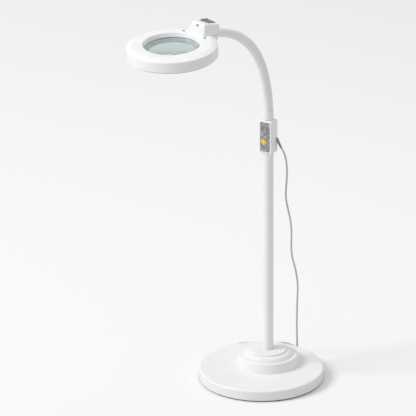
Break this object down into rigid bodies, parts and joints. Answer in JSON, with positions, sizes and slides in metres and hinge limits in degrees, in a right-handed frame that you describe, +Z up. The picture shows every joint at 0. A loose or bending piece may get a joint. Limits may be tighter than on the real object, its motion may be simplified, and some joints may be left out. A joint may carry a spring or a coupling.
{
  "type": "magnifying lamp",
  "caption": "Floor-standing magnifying lamp with a round weighted base, a pole with a dimmer box, a gooseneck and a ring-shaped lit head around a large lens.",
  "frame": {"origin": "on the floor under the centre of the round base", "axes": "+Z up along the pole; the dimmer box faces -Y; +X to the right of someone facing the box's back"},
  "size_m": [0.3334, 0.5809, 0.9613],
  "materials": {
    "base_cover": "satin white powder coat",
    "base_plate": "zinc plated sheet",
    "base_weight": "raw cast iron",
    "box_front": "satin white moulding",
    "bracket": "satin white moulding",
    "circuit_board": "green laminate",
    "cord": "pale grey soft vinyl",
    "cord_tie": "dark band",
    "dial_ring": "pale ring",
    "dimmer_body": "dark moulding",
    "dimmer_knob": "yellow",
    "faceplate": "brushed grey",
    "head_cover": "satin white moulding",
    "head_tray": "satin white moulding",
    "hub_cap": "satin white moulding",
    "hub_cover": "satin white moulding",
    "led_board": "white laminate",
    "led_chips": "pale yellow phosphor",
    "lens": "clear glass with a green tint",
    "lens_gasket": "matte rubber",
    "lens_ring": "white moulding",
    "light_diffuser": "frosted",
    "neck": "satin white ribbed skin",
    "neck_ferrule": "satin white moulding",
    "plug_body": "pale grey vinyl",
    "plug_pins": "plated brass",
    "pole": "satin white powder coat",
    "pole_socket": "zinc plated",
    "rocker_frame": "dark grey",
    "rocker_switch": "dark grey",
    "rubber_feet": "matte rubber",
    "steel": "plain steel"
  },
  "bodies": {
    "stand": {"base_cover": "base_cover", "base_weight": "base_weight", "base_plate": "base_plate", "rubber_feet": "rubber_feet", "base_screws": "steel", "hub_cover": "hub_cover", "hub_cap": "hub_cap", "pole_socket": "pole_socket", "socket_screws": "steel", "pole_plug": "steel", "pole_bolt": "steel", "pole": "pole", "box_front": "box_front", "box_rear": "box_front", "faceplate": "faceplate", "dial_ring": "dial_ring", "dimmer_body": "dimmer_body", "circuit_board": "circuit_board", "box_screws": "steel", "swivel_bush": "steel", "swivel_nut": "steel", "cord_gland": "cord", "power_cord": "cord", "cord_tail": "cord", "cord_hank": "cord", "cord_tie": "cord_tie", "plug_body": "plug_body", "plug_pins": "plug_pins"},
    "swivel": {"neck_ferrule": "neck_ferrule", "neck_stub": "neck"},
    "link_1": {"neck_link_1": "neck"},
    "link_2": {"neck_link_2": "neck"},
    "link_3": {"neck_link_3": "neck"},
    "link_4": {"neck_link_4": "neck"},
    "link_5": {"neck_link_5": "neck"},
    "link_6": {"neck_link_6": "neck"},
    "link_7": {"neck_link_7": "neck"},
    "link_8": {"neck_link_8": "neck"},
    "head": {"neck_tip": "neck", "neck_clamp": "steel", "bracket_cover": "bracket", "bracket_base": "bracket", "bracket_screws": "steel", "rocker_frame": "rocker_frame", "rocker_body": "rocker_frame", "head_cover": "head_cover", "head_tray": "head_tray", "lens": "lens", "lens_gasket": "lens_gasket", "lens_ring": "lens_ring", "led_board": "led_board", "led_chips": "led_chips", "light_diffuser": "light_diffuser", "head_screws": "steel"},
    "rocker": {"rocker_switch": "rocker_switch"},
    "knob": {"dimmer_knob": "dimmer_knob", "dimmer_shaft": "steel"}
  },
  "joints": [
    {"name": "neck_swivel", "type": "hinge", "parent": "stand", "child": "swivel", "pos_m": [0, 0.0315, 0.666], "axis": [0, 0, 1], "range_deg": [-170, 170]},
    {"name": "low_bend_1", "type": "hinge", "parent": "swivel", "child": "link_1", "pos_m": [0, 0.0315, 0.698], "axis": [0.9703, -0.2419, 0], "range_deg": [-14, 14]},
    {"name": "side_bend_1", "type": "hinge", "parent": "link_1", "child": "link_2", "pos_m": [-0.00128, 0.02637, 0.73563], "axis": [-0.2379, -0.954, -0.1822], "range_deg": [-12, 12]},
    {"name": "low_bend_2", "type": "hinge", "parent": "link_2", "child": "link_3", "pos_m": [-0.00335, 0.01807, 0.77266], "axis": [0.9703, -0.2419, 0], "range_deg": [-14, 14]},
    {"name": "side_bend_2", "type": "hinge", "parent": "link_3", "child": "link_4", "pos_m": [-0.00649, 0.00546, 0.80837], "axis": [-0.2201, -0.8829, -0.4147], "range_deg": [-12, 12]},
    {"name": "high_bend_1", "type": "hinge", "parent": "link_4", "child": "link_5", "pos_m": [-0.01095, -0.01241, 0.8416], "axis": [0.9703, -0.2419, 0], "range_deg": [-14, 14]},
    {"name": "side_bend_3", "type": "hinge", "parent": "link_5", "child": "link_6", "pos_m": [-0.01698, -0.0366, 0.87028], "axis": [-0.1665, -0.6679, -0.7254], "range_deg": [-12, 12]},
    {"name": "high_bend_2", "type": "hinge", "parent": "link_6", "child": "link_7", "pos_m": [-0.02422, -0.06566, 0.89367], "axis": [0.9703, -0.2419, 0], "range_deg": [-14, 14]},
    {"name": "side_bend_4", "type": "hinge", "parent": "link_7", "child": "link_8", "pos_m": [-0.03249, -0.0988, 0.91033], "axis": [-0.0887, -0.3556, -0.9304], "range_deg": [-12, 12]},
    {"name": "high_bend_3", "type": "hinge", "parent": "link_8", "child": "head", "pos_m": [-0.04128, -0.13406, 0.92144], "axis": [0.9703, -0.2419, 0], "range_deg": [-14, 14]},
    {"name": "rocker_tilt", "type": "hinge", "parent": "head", "child": "rocker", "pos_m": [-0.04842, -0.16269, 0.95451], "axis": [-0.238, -0.9546, 0.1789], "range_deg": [0, 14]},
    {"name": "dimmer_turn", "type": "hinge", "parent": "stand", "child": "knob", "pos_m": [0, 0.0165, 0.6035], "axis": [0, -1, 0], "range_deg": [-135, 135]}
  ],
  "couplings": [
    {"joint": "low_bend_2", "follows": "low_bend_1", "ratio": 1},
    {"joint": "high_bend_2", "follows": "high_bend_1", "ratio": 1},
    {"joint": "high_bend_3", "follows": "high_bend_1", "ratio": 1},
    {"joint": "side_bend_2", "follows": "side_bend_1", "ratio": 1},
    {"joint": "side_bend_3", "follows": "side_bend_1", "ratio": 1},
    {"joint": "side_bend_4", "follows": "side_bend_1", "ratio": 1}
  ]
}
